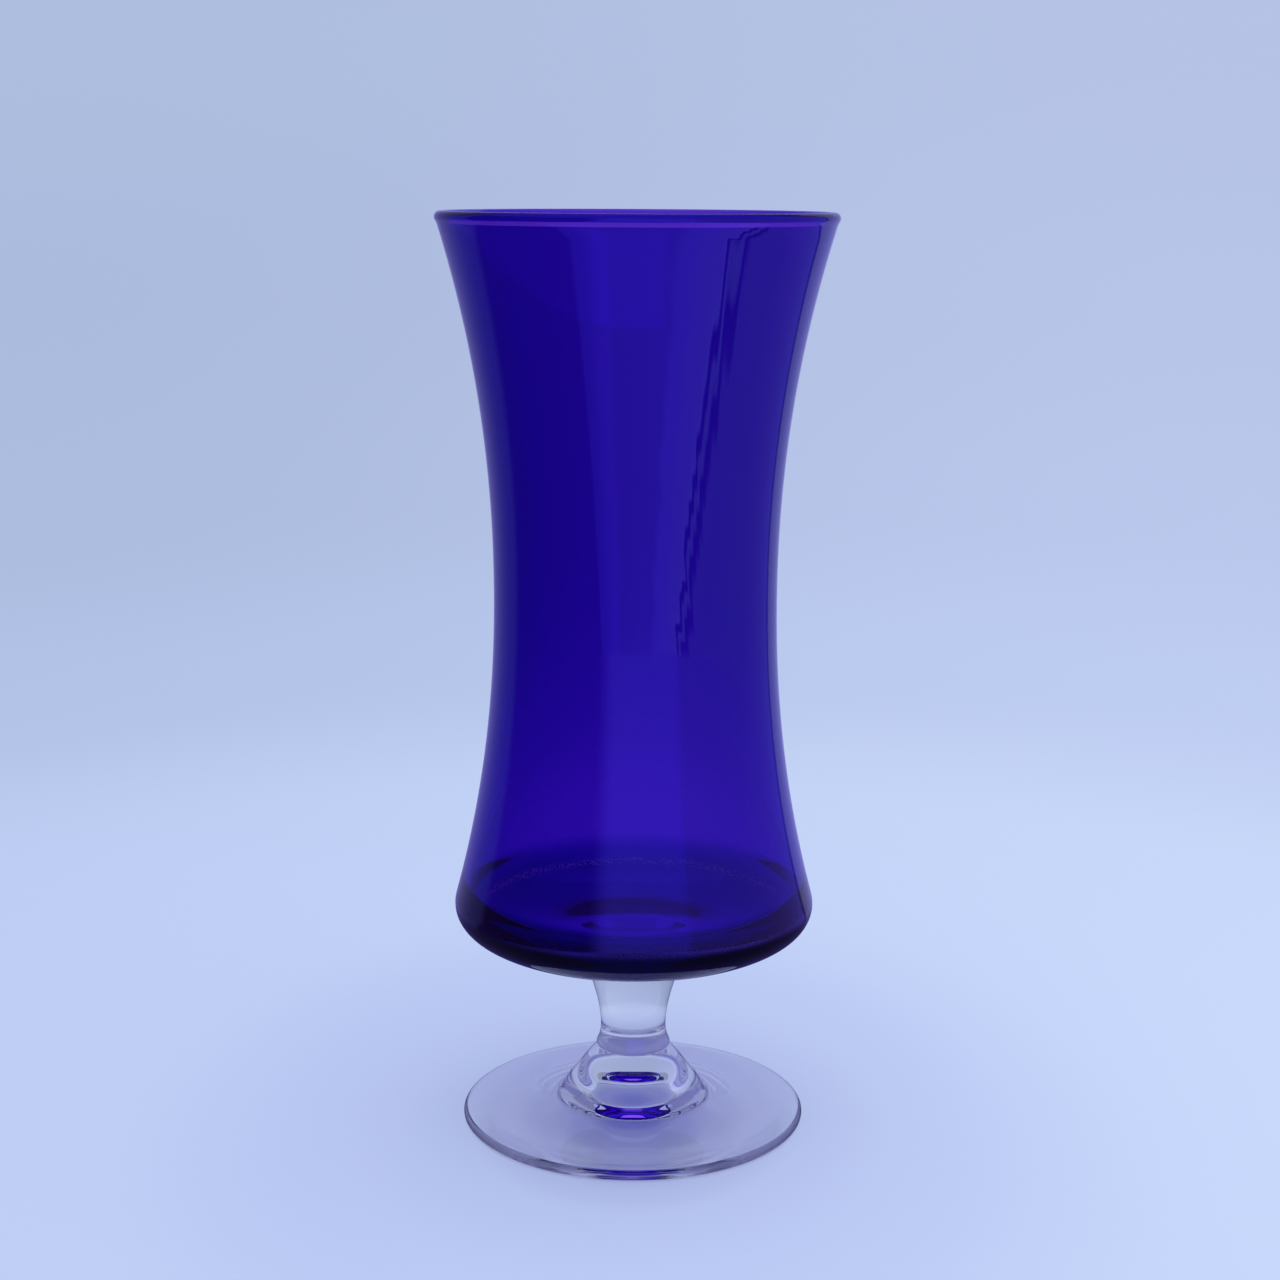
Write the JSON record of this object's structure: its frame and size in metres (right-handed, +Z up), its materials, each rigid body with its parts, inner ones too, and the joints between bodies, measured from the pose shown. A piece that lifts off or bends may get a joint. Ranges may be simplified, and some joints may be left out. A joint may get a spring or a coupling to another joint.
{
  "type": "footed vase",
  "caption": "Waisted glass vase with a flared mouth and a rounded heel, standing on a short clear stem and a clear disc foot.",
  "frame": {"origin": "middle of the ring that the foot rests on, on the surface that the vase stands on", "axes": "+Z up the axis of the vase, from the foot to the mouth; the vase is turned, so +X and +Y are free"},
  "size_m": [0.1062, 0.1062, 0.25],
  "materials": {
    "cobalt_glass": "fire-polished transparent cobalt blue glass, coloured all through",
    "clear_glass": "fire-polished clear colourless glass"
  },
  "bodies": {
    "root": {"bowl": "cobalt_glass", "stem": "clear_glass", "foot": "clear_glass"}
  },
  "joints": []
}
